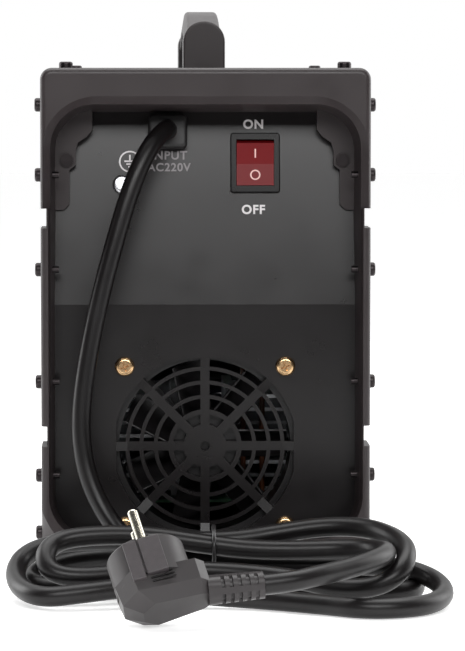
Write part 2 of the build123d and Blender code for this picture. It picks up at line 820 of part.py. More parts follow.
# Plug: round core with the pins, a wider grip behind it, cable leaving sideways.
# In its own plane x runs along the cable, y from pin to pin and z along the pins.
plug = Plane(origin=plug_origin, x_dir=(0.97, 0.11, 0.255), z_dir=(-0.27, 0.61, 0.75))
pin_axis = Axis(plug.origin, plug.z_dir)
grip_end = 24.0
relief_length = 26.0
relief_root = plug.from_local_coords((grip_end - 2, 0, -26.6))
relief = Plane(origin=relief_root, x_dir=(0, 1, 0), z_dir=(0.99, 0.115, 0.08))
relief_tip = relief.offset(relief_length).origin
pin_places = [(0, -pin_spacing / 2), (0, pin_spacing / 2)]

with BuildPart() as plug_body:
    with BuildSketch(plug):
        Circle(plug_core_radius)
    extrude(amount=-plug_core_depth)
    fillet(plug_body.faces().sort_by(pin_axis)[-1].edges(), 1)
    with BuildSketch(plug.offset(-plug_core_depth + 3)):
        Polygon((-18, -7), (-10, -17.5), (20, -13), (grip_end, -8), (grip_end, 8), (20, 13),
                (-10, 17.5), (-18, 7), align=None)
    with BuildSketch(plug.offset(-plug_core_depth - plug_waist_depth)):
        Polygon((-17, -6), (-9, -16.2), (20, -12), (grip_end, -7), (grip_end, 7), (20, 12),
                (-9, 16.2), (-17, 6), align=None)
    loft(ruled=True)
    with BuildSketch(plug.offset(-plug_core_depth - plug_waist_depth)):
        Polygon((-17, -6), (-9, -16.2), (20, -12), (grip_end, -7), (grip_end, 7), (20, 12),
                (-9, 16.2), (-17, 6), align=None)
    with BuildSketch(plug.offset(-plug_core_depth - plug_base_depth)):
        Polygon((-9, -4), (-3, -10), (19, -7), (grip_end - 2, -5), (grip_end - 2, 5), (19, 7),
                (-3, 10), (-9, 4), align=None)
    loft(ruled=True)
    with BuildSketch(plug):
        with Locations((0, -17.5), (0, 17.5)):
            Rectangle(6, 4)
    extrude(amount=-(plug_core_depth - 4), mode=Mode.SUBTRACT)
    with BuildSketch(plug):
        with Locations(*pin_places):
            Circle(pin_root_radius)
    extrude(amount=-pin_root_depth, mode=Mode.SUBTRACT)
    with BuildSketch(plug):
        with Locations((-10, 0)):
            Circle(2.6)
    extrude(amount=-12, mode=Mode.SUBTRACT)
plug_body.part.label = "plug_body"
export_step(plug_body.part, "parts/plug_body.step")

with BuildPart() as plug_pins:
    with BuildSketch(plug):
        with Locations(*pin_places):
            Circle(pin_radius)
    extrude(amount=pin_length)
    with BuildSketch(plug):
        with Locations(*pin_places):
            Circle(pin_root_radius)
    extrude(amount=-pin_root_depth)
    fillet(plug_pins.faces().filter_by(GeomType.PLANE).group_by(pin_axis)[-1].edges(), 1.4)
plug_pins.part.label = "plug_pins"
export_step(plug_pins.part, "parts/plug_pins.step")

with BuildPart() as plug_earth_clips:
    with BuildSketch(plug):
        with Locations((0, -16), (0, 16)):
            Rectangle(5, 1)
    extrude(amount=-(plug_core_depth - 4))
plug_earth_clips.part.label = "plug_earth_clips"
export_step(plug_earth_clips.part, "parts/plug_earth_clips.step")

with BuildPart() as plug_strain_relief:
    with BuildSketch(relief):
        RectangleRounded(15, 13, 4.5)
    with BuildSketch(relief.offset(relief_length)):
        RectangleRounded(12.4, 12.4, 5.4)
    loft()
    for groove in range(5):
        with BuildSketch(relief.offset(6 + 3.9 * groove)):
            Rectangle(20, 20)
            RectangleRounded(10.6, 10.6, 4.5, mode=Mode.SUBTRACT)
            Rectangle(5.0, 20, mode=Mode.SUBTRACT)
            Rectangle(20, 3.0, mode=Mode.SUBTRACT)
        extrude(amount=1.7, mode=Mode.SUBTRACT)
    add(plug_body.part, mode=Mode.SUBTRACT)
plug_strain_relief.part.label = "plug_strain_relief"
export_step(plug_strain_relief.part, "parts/plug_strain_relief.step")

tail_route = [
    relief_tip,
    relief.offset(relief_length + 12).origin,
    Vector(47.0, -333.5, 20.6),
    Vector(59.0, -325.0, 21.5),
]
cord_radii = tangent_arc_radii(cord_route)
tail_radii = tangent_arc_radii(tail_route)
print("cord radii", [round(r) for r in cord_radii], "tail radii", [round(r) for r in tail_radii])

with BuildPart() as mains_cord:
    with BuildLine():
        cord_line = FilletPolyline(*cord_route, radius=cord_radii)
    with BuildSketch(Plane(origin=cord_line @ 0, z_dir=cord_line % 0)):
        Circle(cord_radius)
    sweep(path=cord_line)
mains_cord.part.label = "mains_cord"
export_step(mains_cord.part, "parts/mains_cord.step")
print("cord volume over section times length",
      round(mains_cord.part.volume / (pi * cord_radius**2 * cord_line.length), 4))

with BuildPart() as cord_tail:
    with BuildLine():
        tail_line = FilletPolyline(*tail_route, radius=tail_radii)
    with BuildSketch(Plane(origin=tail_line @ 0, z_dir=tail_line % 0)):
        Circle(cord_radius)
    sweep(path=tail_line)
cord_tail.part.label = "cord_tail"
export_step(cord_tail.part, "parts/cord_tail.step")

# The hank as one closed solid: the outer shape of its turns, tied at its waist
hank_left, hank_right = -97.0, 115.0
hank_height = 38.0
waist_x, waist_front, waist_back = 0.0, -290.0, -215.0

with BuildPart() as cord_hank:
    with BuildSketch(Plane.XY):
        with BuildLine():
            Spline(
                (hank_left, -255), (-68, -199), (waist_x, waist_back), (78, -195),
                (hank_right, -262), (98, -318), (60, -324), (24, -302), (waist_x, waist_front),
                (-44, -298), (-82, -300), periodic=True,
            )
        make_face()
    extrude(amount=hank_height)
    fillet(cord_hank.faces().sort_by(Axis.Z)[-1].edges(), 6)
cord_hank.part.label = "cord_hank"
export_step(cord_hank.part, "parts/cord_hank.step")

# The tie round the hank's waist
with BuildPart() as cord_tie:
    with BuildSketch(Plane.XY):
        with Locations((waist_x, (waist_front + waist_back) / 2)):
            Rectangle(2.4, waist_back - waist_front + 2)
    extrude(amount=hank_height + 1)
    add(cord_hank.part, mode=Mode.SUBTRACT)
    add(mains_cord.part, mode=Mode.SUBTRACT)
cord_tie.part.label = "cord_tie"
export_step(cord_tie.part, "parts/cord_tie.step")

# Output sockets: insulated body, brass insert with a stud, nut behind the busbar
front_face = -panel_y
socket_places = [(-socket_x, socket_height), (socket_x, socket_height)]
socket_flange, socket_back = front_face + 5.0, 118.0
insert_mouth, insert_depth, stud_end = front_face + 3.0, 18.0, 101.0
busbar_y = 107.0

with BuildPart() as output_sockets:
    with BuildSketch(section(front_face)):
        with Locations(*socket_places):
            Circle(20)
    extrude(amount=-(socket_flange - front_face))
    fillet(output_sockets.faces().filter_by(Axis.Y).group_by(Axis.Y)[-1].edges(), 1.5)
    with BuildSketch(section(front_face)):
        with Locations(*socket_places):
            Circle(16)
    extrude(amount=front_face - socket_back)
    with BuildSketch(section(socket_back)):
        with Locations(*socket_places):
            Circle(10)
    extrude(amount=-30, mode=Mode.SUBTRACT)
output_sockets.part.label = "output_sockets"
export_step(output_sockets.part, "parts/output_sockets.step")

with BuildPart() as socket_inserts:
    with BuildSketch(section(socket_back)):
        with Locations(*socket_places):
            Circle(10)
    extrude(amount=-(insert_mouth - socket_back))
    with BuildSketch(section(insert_mouth)):
        with Locations(*socket_places):
            Circle(socket_bore)
    extrude(amount=insert_depth, mode=Mode.SUBTRACT)
    with BuildSketch(section(socket_back)):
        with Locations(*socket_places):
            Circle(5)
    extrude(amount=socket_back - stud_end)
socket_inserts.part.label = "socket_inserts"
export_step(socket_inserts.part, "parts/socket_inserts.step")

with BuildPart() as socket_nuts:
    with BuildSketch(section(busbar_y)):
        with Locations(*socket_places):
            RegularPolygon(9, 6)
            Circle(5, mode=Mode.SUBTRACT)
    extrude(amount=5)
socket_nuts.part.label = "socket_nuts"
export_step(socket_nuts.part, "parts/socket_nuts.step")

# Current dial on a potentiometer
with BuildPart() as potentiometer:
    with BuildSketch(section(-panel_inner)):
        with Locations((0, dial_height)):
            Circle(8.5)
    extrude(amount=8)
    with BuildSketch(section(-panel_inner)):
        with Locations((0, dial_height)):
            Circle(bush_radius)
    extrude(amount=-7)
    with BuildSketch(section(front_face + 6)):
        with Locations((0, dial_height)):
            Circle(3.05)
    extrude(amount=14, mode=Mode.SUBTRACT)
potentiometer.part.label = "potentiometer"
export_step(potentiometer.part, "parts/potentiometer.step")

with BuildPart() as dial_nut:
    with BuildSketch(section(front_face)):
        with Locations((0, dial_height)):
            RegularPolygon(6.2, 6)
            Circle(bush_radius, mode=Mode.SUBTRACT)
    extrude(amount=-2.2)
dial_nut.part.label = "dial_nut"
export_step(dial_nut.part, "parts/dial_nut.step")

with BuildPart() as dial_shaft:
    with BuildSketch(section(front_face - 8)):
        with Locations((0, dial_height)):
            Circle(3)
    extrude(amount=-21)
dial_shaft.part.label = "dial_shaft"
export_step(dial_shaft.part, "parts/dial_shaft.step")

with BuildPart() as current_dial:
    with BuildSketch(section(front_face + 1.5)):
        with Locations((0, dial_height)):
            Circle(dial_radius)
    extrude(amount=-16, taper=4)
    fillet(current_dial.faces().sort_by(Axis.Y)[-1].edges(), 1.5)
    with BuildSketch(section(front_face + 1.5)):
        with Locations((0, dial_height)):
            with PolarLocations(dial_radius + 1, 18):
                Circle(2)
    extrude(amount=-11, mode=Mode.SUBTRACT)
    with BuildSketch(section(front_face + 1.5)):
        with Locations((0, dial_height)):
            Circle(8)
    extrude(amount=-5, mode=Mode.SUBTRACT)
    with BuildSketch(section(front_face + 1.5)):
        with Locations((0, dial_height)):
            Circle(3)
    extrude(amount=-11.5, mode=Mode.SUBTRACT)
current_dial.part.label = "current_dial"
export_step(current_dial.part, "parts/current_dial.step")

# Display: window and lenses flush in the slope, a board on spacers behind them
with BuildPart() as display_window:
    mirror(bent_slab.part, about=Plane.XZ)
    with BuildSketch(section(-panel_inner)):
        with Locations((0, window_height)):
            RectangleRounded(56, 26, 3)
    extrude(amount=20, both=True, mode=Mode.INTERSECT)
display_window.part.label = "display_window"
export_step(display_window.part, "parts/display_window.step")

with BuildPart() as indicator_lenses:
    with BuildSketch(section(133.2)):
        with Locations((-20, 165), (20, 165)):
            Circle(2.5)
    extrude(amount=5)
    fillet(indicator_lenses.faces().filter_by(Axis.Y).group_by(Axis.Y)[-1].edges(), 1.4)
indicator_lenses.part.label = "indicator_lenses"
export_step(indicator_lenses.part, "parts/indicator_lenses.step")

front_slope = Plane(
    origin=(0, -panel_y, bend_height),
    x_dir=(-1, 0, 0),
    z_dir=(0, cos(radians(panel_slant)), sin(radians(panel_slant))),
)
spacer_length = 6.0
board_centre = up_slope(185)
with BuildPart() as display_spacers:
    with BuildSketch(front_slope.offset(-panel_thickness)):
        with Locations((0, board_centre)):
            with GridLocations(64, 52, 2, 2):
                Circle(3)
    extrude(amount=-spacer_length)
display_spacers.part.label = "display_spacers"
export_step(display_spacers.part, "parts/display_spacers.step")

with BuildPart() as display_board:
    with BuildSketch(front_slope.offset(-panel_thickness - spacer_length)):
        with Locations((0, board_centre)):
            RectangleRounded(74, 62, 3)
    extrude(amount=-1.6)
display_board.part.label = "display_board"
export_step(display_board.part, "parts/display_board.step")

# Power board on standoffs
board_bottom, board_thickness = 28.0, 1.6
board_top = board_bottom + board_thickness
board_rear, board_front, board_half_width = -98.0, 104.0, 68.0

with BuildPart() as board_standoffs:
    with BuildSketch(Plane.XY.offset(tray_floor)):
        with GridLocations(100, 92, 2, 3):
            RegularPolygon(4, 6)
    extrude(amount=board_bottom - tray_floor)
board_standoffs.part.label = "board_standoffs"
export_step(board_standoffs.part, "parts/board_standoffs.step")

with BuildPart() as power_board:
    with BuildSketch(Plane.XY.offset(board_bottom)):
        with Locations((0, (board_rear + board_front) / 2)):
            RectangleRounded(2 * board_half_width, board_front - board_rear, 3)
    extrude(amount=board_thickness)
power_board.part.label = "power_board"
export_step(power_board.part, "parts/power_board.step")

# Two finned heatsinks with the power transistors on their inner faces
sink_rear, sink_front = -80.0, 10.0
sink_inner, sink_outer, sink_top = 12.0, 46.0, 86.0
fin_pitch, fin_count = 7.0, 8

with BuildPart() as heatsinks:
    with BuildSketch(section(sink_rear)):
        for side in (-1, 1):
            with Locations((side * (sink_inner + 2.5), (board_top + sink_top) / 2)):
                Rectangle(5, sink_top - board_top)
            with Locations((side * (sink_inner + sink_outer) / 2, (board_top + sink_top) / 2)):
                with GridLocations(1, fin_pitch, 1, fin_count):
                    Rectangle(sink_outer - sink_inner, 1.8)
    extrude(amount=-(sink_front - sink_rear))
heatsinks.part.label = "heatsinks"
export_step(heatsinks.part, "parts/heatsinks.step")

transistor_places = [(side, y) for side in (-1, 1) for y in (-66, -35, -4)]
with BuildPart() as power_transistors:
    for side, y in transistor_places:
        with BuildSketch(Plane.XY.offset(48)):
            with Locations((side * (sink_inner - 2.5), y)):
                Rectangle(5, 16)
        extrude(amount=20)
        with BuildSketch(Plane.XY.offset(board_top)):
            for leg in (-5.4, 0, 5.4):
                with Locations((side * (sink_inner - 2.5), y + leg)):
                    Rectangle(0.7, 1.3)
        extrude(amount=48 - board_top)
power_transistors.part.label = "power_transistors"
export_step(power_transistors.part, "parts/power_transistors.step")

with BuildPart() as capacitors:
    with BuildSketch(Plane.XY.offset(board_top)):
        with Locations((-44, 33), (0, 33), (44, 33)):
            Circle(16)
    extrude(amount=46)
    fillet(capacitors.faces().filter_by(Axis.Z).edges(), 1.5)
capacitors.part.label = "capacitors"
export_step(capacitors.part, "parts/capacitors.step")

# Transformer: a closed core with its winding round the middle limb
core_x, core_y = 30.0, 76.0
core_width, core_depth, core_height, limb = 56.0, 30.0, 50.0, 14.0
with BuildPart() as transformer_core:
    with BuildSketch(section(core_y - core_depth / 2)):
        with Locations((core_x, board_top + core_height / 2)):
            Rectangle(core_width, core_height)
            with GridLocations(core_width / 2 - 1, 1, 2, 1):
                Rectangle(core_width / 2 - 1 - limb, core_height - limb, mode=Mode.SUBTRACT)
    extrude(amount=-core_depth)
transformer_core.part.label = "transformer_core"
export_step(transformer_core.part, "parts/transformer_core.step")

with BuildPart() as transformer_winding:
    with BuildSketch(Plane.XY.offset(board_top + limb / 2 + 1)):
        with Locations((core_x, core_y)):
            RectangleRounded(37, core_depth + 15, 8)
            Rectangle(limb + 0.4, core_depth + 0.4, mode=Mode.SUBTRACT)
    extrude(amount=core_height - limb - 2)
transformer_winding.part.label = "transformer_winding"
export_step(transformer_winding.part, "parts/transformer_winding.step")

with BuildPart() as output_inductor:
    with BuildSketch(Plane.XY.offset(board_top)):
        with Locations((-34, 80)):
            Circle(19)
            Circle(9, mode=Mode.SUBTRACT)
    extrude(amount=22)
    fillet(output_inductor.faces().filter_by(Axis.Z).edges(), 3)
output_inductor.part.label = "output_inductor"
export_step(output_inductor.part, "parts/output_inductor.step")

with BuildPart() as bridge_rectifier:
    with BuildSketch(Plane.XY.offset(board_top)):
        with Locations((-57.5, -40)):
            Rectangle(16, 28)
    extrude(amount=9)
    chamfer(bridge_rectifier.faces().sort_by(Axis.Z)[-1].edges(), 1)
bridge_rectifier.part.label = "bridge_rectifier"
export_step(bridge_rectifier.part, "parts/bridge_rectifier.step")

with BuildPart() as busbars:
    with BuildSketch(section(busbar_y)):
        with Locations(*[(x, (board_top + 62) / 2) for x, z in socket_places]):
            Rectangle(18, 62 - board_top)
        with Locations(*socket_places):
            Circle(5, mode=Mode.SUBTRACT)
    extrude(amount=-2)
    with BuildSketch(Plane.XY.offset(board_top)):
        with Locations(*[(x, busbar_y - 3) for x, z in socket_places]):
            Rectangle(18, 6)
    extrude(amount=2)
busbars.part.label = "busbars"
export_step(busbars.part, "parts/busbars.step")

with BuildPart() as control_board:
    with BuildSketch(Plane.YZ.offset(-65)):
        with Locations((50, board_top + 34)):
            RectangleRounded(80, 68, 2)
    extrude(amount=1.6)
control_board.part.label = "control_board"
export_step(control_board.part, "parts/control_board.step")

# Internal leads: gland to switch, switch to board, fan to board
wire_radius = 1.4
sheath_end = 24.0


def wire(points, bend):
    """One insulated lead through the points, with every corner at the same radius."""
    with BuildPart() as lead:
        with BuildLine():
            line = FilletPolyline(*points, radius=bend)
        with BuildSketch(Plane(origin=line @ 0, z_dir=line % 0)):
            Circle(wire_radius)
        sweep(path=line)
    return lead.part


terminal_tip = -(switch_body_depth + terminal_length)
lead_xs = (switch_x - terminal_side, switch_x + terminal_side)
switch_wires = []
for x in lead_xs:
    start = slope.from_local_coords((x, switch_y - terminal_up, terminal_tip))
    switch_wires.append(
        wire([start, start + Vector(0, 9, -2), (x, -88, 150), (x, -88, board_top)], 6)
    )
with BuildPart() as switch_leads:
    add(switch_wires)
switch_leads.part.label = "switch_leads"
export_step(switch_leads.part, "parts/switch_leads.step")

mains_wires = []
for shift, x in zip((-2.4, 2.4), lead_xs):
    start = slope.from_local_coords((gland_x + shift, gland_centre + shift, -sheath_end))
    end = slope.from_local_coords((x, switch_y + terminal_up, terminal_tip))
    mains_wires.append(
        wire([start, start + Vector(0, 18 + 2 * shift, 0),
              end + Vector(0, 18 + 2 * shift, 2 + shift), end], 6)
    )
with BuildPart() as mains_leads:
    with BuildSketch(slope.offset(gland_depth)):
        with Locations((gland_x, gland_centre)):
            Circle(cord_radius)
    extrude(amount=-(gland_depth + sheath_end))
    add(mains_wires)
mains_leads.part.label = "mains_leads"
export_step(mains_leads.part, "parts/mains_leads.step")

fan_wire = wire([(43, fan_rear, 92), (43, -94, 92), (52, -92, 70), (52, -92, board_top)], 5)
with BuildPart() as fan_lead:
    add(fan_wire)
fan_lead.part.label = "fan_lead"
export_step(fan_lead.part, "parts/fan_lead.step")
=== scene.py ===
import json
import math

import bpy
import numpy as np
from mathutils import Matrix, Vector


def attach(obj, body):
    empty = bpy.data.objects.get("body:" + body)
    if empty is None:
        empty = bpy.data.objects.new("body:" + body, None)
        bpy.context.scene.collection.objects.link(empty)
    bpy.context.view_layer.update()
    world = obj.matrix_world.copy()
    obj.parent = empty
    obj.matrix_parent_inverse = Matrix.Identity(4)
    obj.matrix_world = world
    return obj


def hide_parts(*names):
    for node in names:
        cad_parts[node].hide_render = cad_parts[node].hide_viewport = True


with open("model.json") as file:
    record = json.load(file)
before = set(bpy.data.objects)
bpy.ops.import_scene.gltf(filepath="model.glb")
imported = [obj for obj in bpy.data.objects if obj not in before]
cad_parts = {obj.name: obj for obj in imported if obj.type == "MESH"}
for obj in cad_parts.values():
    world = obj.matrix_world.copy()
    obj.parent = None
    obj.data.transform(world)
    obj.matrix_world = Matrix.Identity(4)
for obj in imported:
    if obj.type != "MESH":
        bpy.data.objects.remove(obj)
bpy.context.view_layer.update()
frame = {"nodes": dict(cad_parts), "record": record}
nodes = frame["nodes"]
mm = 0.001
print("frame loaded with", len(nodes), "nodes")


def linearColour(hexText):
    # sRGB hex to linear: straight line below 0.04045, power 2.4 above it; opaque
    channels = [int(hexText[i:i + 2], 16) / 255 for i in (1, 3, 5)]
    return [c / 12.92 if c <= 0.04045 else ((c + 0.055) / 1.055) ** 2.4 for c in channels] + [1]


def addNode(tree, kind, settings=None, links=None):
    # one node, its settings by socket or property name, its inputs linked
    node = tree.nodes.new(kind)
    for key, value in (settings or {}).items():
        if isinstance(key, int) or key in node.inputs:
            node.inputs[key].default_value = value
        else:
            setattr(node, key, value)
    for key, source in (links or {}).items():
        tree.links.new(source, node.inputs[key])
    return node


def newPiece(name, vertices, faces, material, body="machine", slotName=None, smooth=True):
    # a mesh from whole arrays, riding on a body
    mesh = bpy.data.meshes.new(name)
    mesh.from_pydata(np.asarray(vertices).tolist(), [], [list(f) for f in faces])
    mesh.validate()
    mesh.polygons.foreach_set("use_smooth", [smooth] * len(mesh.polygons))
    piece = bpy.data.objects.new(name, mesh)
    bpy.context.scene.collection.objects.link(piece)
    piece.data.materials.append(material)
    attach(piece, body)
    return piece


def gridFaces(rows, columns):
    # quads of a grid of points, row by row, closed in both directions
    i, j = np.meshgrid(np.arange(rows), np.arange(columns), indexing="ij")
    nextI, nextJ = (i + 1) % rows, (j + 1) % columns
    quads = [i * columns + j, nextI * columns + j, nextI * columns + nextJ, i * columns + nextJ]
    return np.stack(quads, -1).reshape(-1, 4)


def intoFrame(pointsMm, place):
    # points in mm in a frame's own axes, given back in metres in the shared frame
    return pointsMm * mm @ np.array(place.to_3x3()).T + np.array(place.translation)


def boxMesh(boxes, place):
    # corners and quads of boxes, each a centre and a size in mm, set in a frame
    ends = (-0.5, 0.5)
    corners = np.array([(x, y, z) for x in ends for y in ends for z in ends])
    sides = np.array([(0, 1, 3, 2), (4, 6, 7, 5), (0, 4, 5, 1),
                      (2, 3, 7, 6), (0, 2, 6, 4), (1, 5, 7, 3)])
    points = np.concatenate([corners * size + centre for centre, size in boxes])
    faces = np.concatenate([sides + len(corners) * i for i in range(len(boxes))])
    return intoFrame(points, place), faces


# place in metres, angles in degrees, lens and sensor in mm
camera = {
    "place": (-0.0347, -1.872, 0.245), "yaw": 1.61, "pitch": 3.99,
    "lens": 187.6, "sensor": 36, "farthest": 30,
}
cameraData = bpy.data.cameras.new("camera")
cameraData.lens = camera["lens"]
cameraData.sensor_width = camera["sensor"]
cameraData.clip_end = camera["farthest"]
cameraObject = bpy.data.objects.new("camera", cameraData)
bpy.context.scene.collection.objects.link(cameraObject)
cameraObject.location = camera["place"]
cameraObject.rotation_euler = (
    math.radians(90 - camera["pitch"]), 0, math.radians(-camera["yaw"]))
bpy.context.scene.camera = cameraObject
print("camera placed")

# what a finish has when it doesn't say otherwise; sizes of grain and mottle are real
plainFinish = {
    "metallic": 0.0, "ior": 1.5, "specular": 0.5, "coat": 0.0, "coatRoughness": 0.1,
    "shade": 0.12, "wear": 0.05, "mottleMm": 25, "mottleDetail": 5.0, "mottleBreak": 0.6,
    "mottleLow": 0.3, "mottleHigh": 0.7,
    "grainMm": 0.6, "grainDetail": 3.0, "grainBreak": 0.65, "bump": 0.2, "grainHeightMm": 0.05,
}


def buildFinish(name, ownLook):
    # grain: fine bump at a real size; mottle: slow colour change; wear: roughness change
    look = {**plainFinish, **ownLook}
    material = bpy.data.materials.new(name)
    material.use_nodes = True
    tree = material.node_tree
    tree.nodes.clear()
    place = addNode(tree, "ShaderNodeTexCoord").outputs["Object"]
    shader = addNode(tree, "ShaderNodeBsdfPrincipled", {
        "Metallic": look["metallic"],
        "IOR": look["ior"],
        "Coat Weight": look["coat"],
        "Coat Roughness": look["coatRoughness"],
        "Specular IOR Level": look["specular"],
    })
    mottle = addNode(tree, "ShaderNodeTexNoise", {
        "Scale": 1 / (look["mottleMm"] * mm),
        "Detail": look["mottleDetail"], "Roughness": look["mottleBreak"],
    }, {"Vector": place})
    # the base colour runs from darker to lighter by the finish's shade
    base = linearColour(look["colour"])
    ramp = addNode(tree, "ShaderNodeMix", {"data_type": "RGBA"}, {"Factor": mottle.outputs["Fac"]})
    ramp.inputs[6].default_value = [c * (1 - look["shade"]) for c in base[:3]] + [1]
    ramp.inputs[7].default_value = [min(1, c * (1 + look["shade"])) for c in base[:3]] + [1]
    tree.links.new(ramp.outputs[2], shader.inputs["Base Color"])
    wear = addNode(tree, "ShaderNodeMapRange", {
        "From Min": look["mottleLow"], "From Max": look["mottleHigh"],
        "To Min": look["roughness"] - look["wear"],
        "To Max": look["roughness"] + look["wear"],
    }, {"Value": mottle.outputs["Fac"]})
    tree.links.new(wear.outputs["Result"], shader.inputs["Roughness"])
    grain = addNode(tree, "ShaderNodeTexNoise", {
        "Scale": 1 / (look["grainMm"] * mm),
        "Detail": look["grainDetail"], "Roughness": look["grainBreak"],
    }, {"Vector": place})
    bump = addNode(tree, "ShaderNodeBump", {
        "Strength": look["bump"], "Distance": look["grainHeightMm"] * mm,
    }, {"Height": grain.outputs["Fac"]})
    tree.links.new(bump.outputs["Normal"], shader.inputs["Normal"])
    output = addNode(tree, "ShaderNodeOutputMaterial", None, {"Surface": shader.outputs["BSDF"]})
    output.name = "surface"
    return material


finishes = {
    # powder coated steel: fine orange peel, satin black
    "powderCoat": {"colour": "#1d1a1b", "roughness": 0.42, "grainMm": 0.9, "bump": 0.35,
                   "grainHeightMm": 0.08},
    # spark textured ABS mouldings: dull highlights broken by the texture
    "frameAbs": {"colour": "#2c2526", "roughness": 0.42, "grainMm": 0.6, "bump": 0.25,
                 "grainHeightMm": 0.04},
    "panelAbs": {"colour": "#110d0e", "roughness": 0.3, "grainMm": 0.6, "bump": 0.2,
                 "grainHeightMm": 0.03, "wear": 0.03},
    # black zinc screws: dark metal with a soft sheen
    "blackZinc": {"colour": "#3a3637", "roughness": 0.38, "metallic": 1.0, "mottleMm": 3},
    # yellow chromate on steel: gold with pink and green drift
    "yellowChromate": {"colour": "#d9b487", "roughness": 0.24, "metallic": 1.0,
                       "mottleMm": 2.5, "shade": 0.25},
    # bright zinc plate: grey silver, slightly cloudy
    "brightZinc": {"colour": "#cfcfd2", "roughness": 0.28, "metallic": 1.0, "mottleMm": 2},
    # moulded rubber foot
    "footRubber": {"colour": "#181717", "roughness": 0.75, "grainMm": 0.8, "bump": 0.3},
    # glass filled nylon fan: half gloss with flow marks
    "fanNylon": {"colour": "#1a1819", "roughness": 0.34, "mottleMm": 12, "shade": 0.2},
    # enamelled copper wire and bare bar
    "copper": {"colour": "#c4774f", "roughness": 0.32, "metallic": 1.0, "grainMm": 0.7,
               "bump": 0.5},
    # polished black switch body
    "switchBlack": {"colour": "#0d0b0c", "roughness": 0.3, "grainMm": 1.5, "bump": 0.05,
                    "specular": 0.25},
    # tinted polycarbonate rocker
    "rockerRed": {"colour": "#6e060d", "specular": 0.25, "roughness": 0.34, "grainMm": 2.0,
                  "bump": 0.04},
    # nickel plated brass
    "nickel": {"colour": "#d8d3c4", "roughness": 0.2, "metallic": 1.0, "mottleMm": 4},
    "glandNylon": {"colour": "#151314", "roughness": 0.5},
    # PVC or rubber sheath: satin with a faint drag texture
    "cordRubber": {"colour": "#0d0a0b", "specular": 0.35, "roughness": 0.38, "grainMm": 0.8,
                   "bump": 0.18, "mottleMm": 14},
    # moulded plug, a little duller and greyer than the cord
    "plugRubber": {"colour": "#2b2728", "roughness": 0.44, "grainMm": 0.7, "bump": 0.35,
                   "mottleMm": 6, "shade": 0.2},
    # sparked mould surface on the plug's guide pads
    "plugPad": {"colour": "#3b3638", "roughness": 0.5, "grainMm": 0.9, "bump": 0.5,
                "grainHeightMm": 0.12,
                "mottleMm": 3, "shade": 0.3},
    "tieWire": {"colour": "#141213", "roughness": 0.35},
    "socketPlastic": {"colour": "#1b191a", "roughness": 0.4},
    "brass": {"colour": "#c9a25a", "roughness": 0.25, "metallic": 1.0, "mottleMm": 4},
    "dialPlastic": {"colour": "#201e1f", "roughness": 0.42},
    "smokedAcrylic": {"colour": "#1c0d0f", "roughness": 0.08, "coat": 0.6, "grainMm": 4,
                      "bump": 0.02},
    "amberLens": {"colour": "#d07a18", "roughness": 0.15, "coat": 0.3},
    "circuitBoard": {"colour": "#1c5a33", "roughness": 0.35, "mottleMm": 8, "shade": 0.25},
    "extrudedAluminium": {"colour": "#c9cbce", "roughness": 0.35, "metallic": 1.0,
                          "mottleMm": 9},
    "capacitorSleeve": {"colour": "#191a2a", "roughness": 0.25, "coat": 0.3},
    "ferrite": {"colour": "#38383b", "roughness": 0.6, "grainMm": 0.4, "bump": 0.4},
    "leadJacket": {"colour": "#5a3018", "roughness": 0.4},
    "printWhite": {"colour": "#dedadb", "roughness": 0.6, "mottleMm": 5, "shade": 0.04,
                   "bump": 0.1},
    # thin print that lets the panel's black through
    "printGrey": {"colour": "#8d888a", "roughness": 0.6, "mottleMm": 4, "shade": 0.12,
                  "bump": 0.1},
    "printRed": {"colour": "#f2c9c4", "roughness": 0.5, "mottleMm": 5, "shade": 0.04,
                 "bump": 0.1},
}
materials = {name: buildFinish(name, look) for name, look in finishes.items()}

slotFinish = {
    "cover_paint": "powderCoat", "frame_plastic": "frameAbs", "panel_plastic": "panelAbs",
    "black_screws": "blackZinc", "yellow_zinc": "yellowChromate", "bright_zinc": "brightZinc",
    "foot_rubber": "footRubber", "fan_plastic": "fanNylon", "copper": "copper",
    "switch_black": "switchBlack", "rocker_red": "rockerRed", "terminal_metal": "nickel",
    "gland_plastic": "glandNylon", "cord_jacket": "cordRubber", "tie_plastic": "tieWire",
    "plug_rubber": "plugRubber", "socket_plastic": "socketPlastic", "socket_brass": "brass",
    "dial_plastic": "dialPlastic", "smoked_window": "smokedAcrylic", "lens_amber": "amberLens",
    "circuit_board": "circuitBoard", "sink_aluminium": "extrudedAluminium",
    "capacitor_sleeve": "capacitorSleeve", "ferrite": "ferrite", "lead_jacket": "leadJacket",
}
for part in frame["record"]["subparts"]:
    cadNode = nodes[part["node"]]
    cadNode.data.materials.clear()
    cadNode.data.materials.append(materials[slotFinish[part["material_slot"]]])
print("finishes on", len(nodes), "nodes")

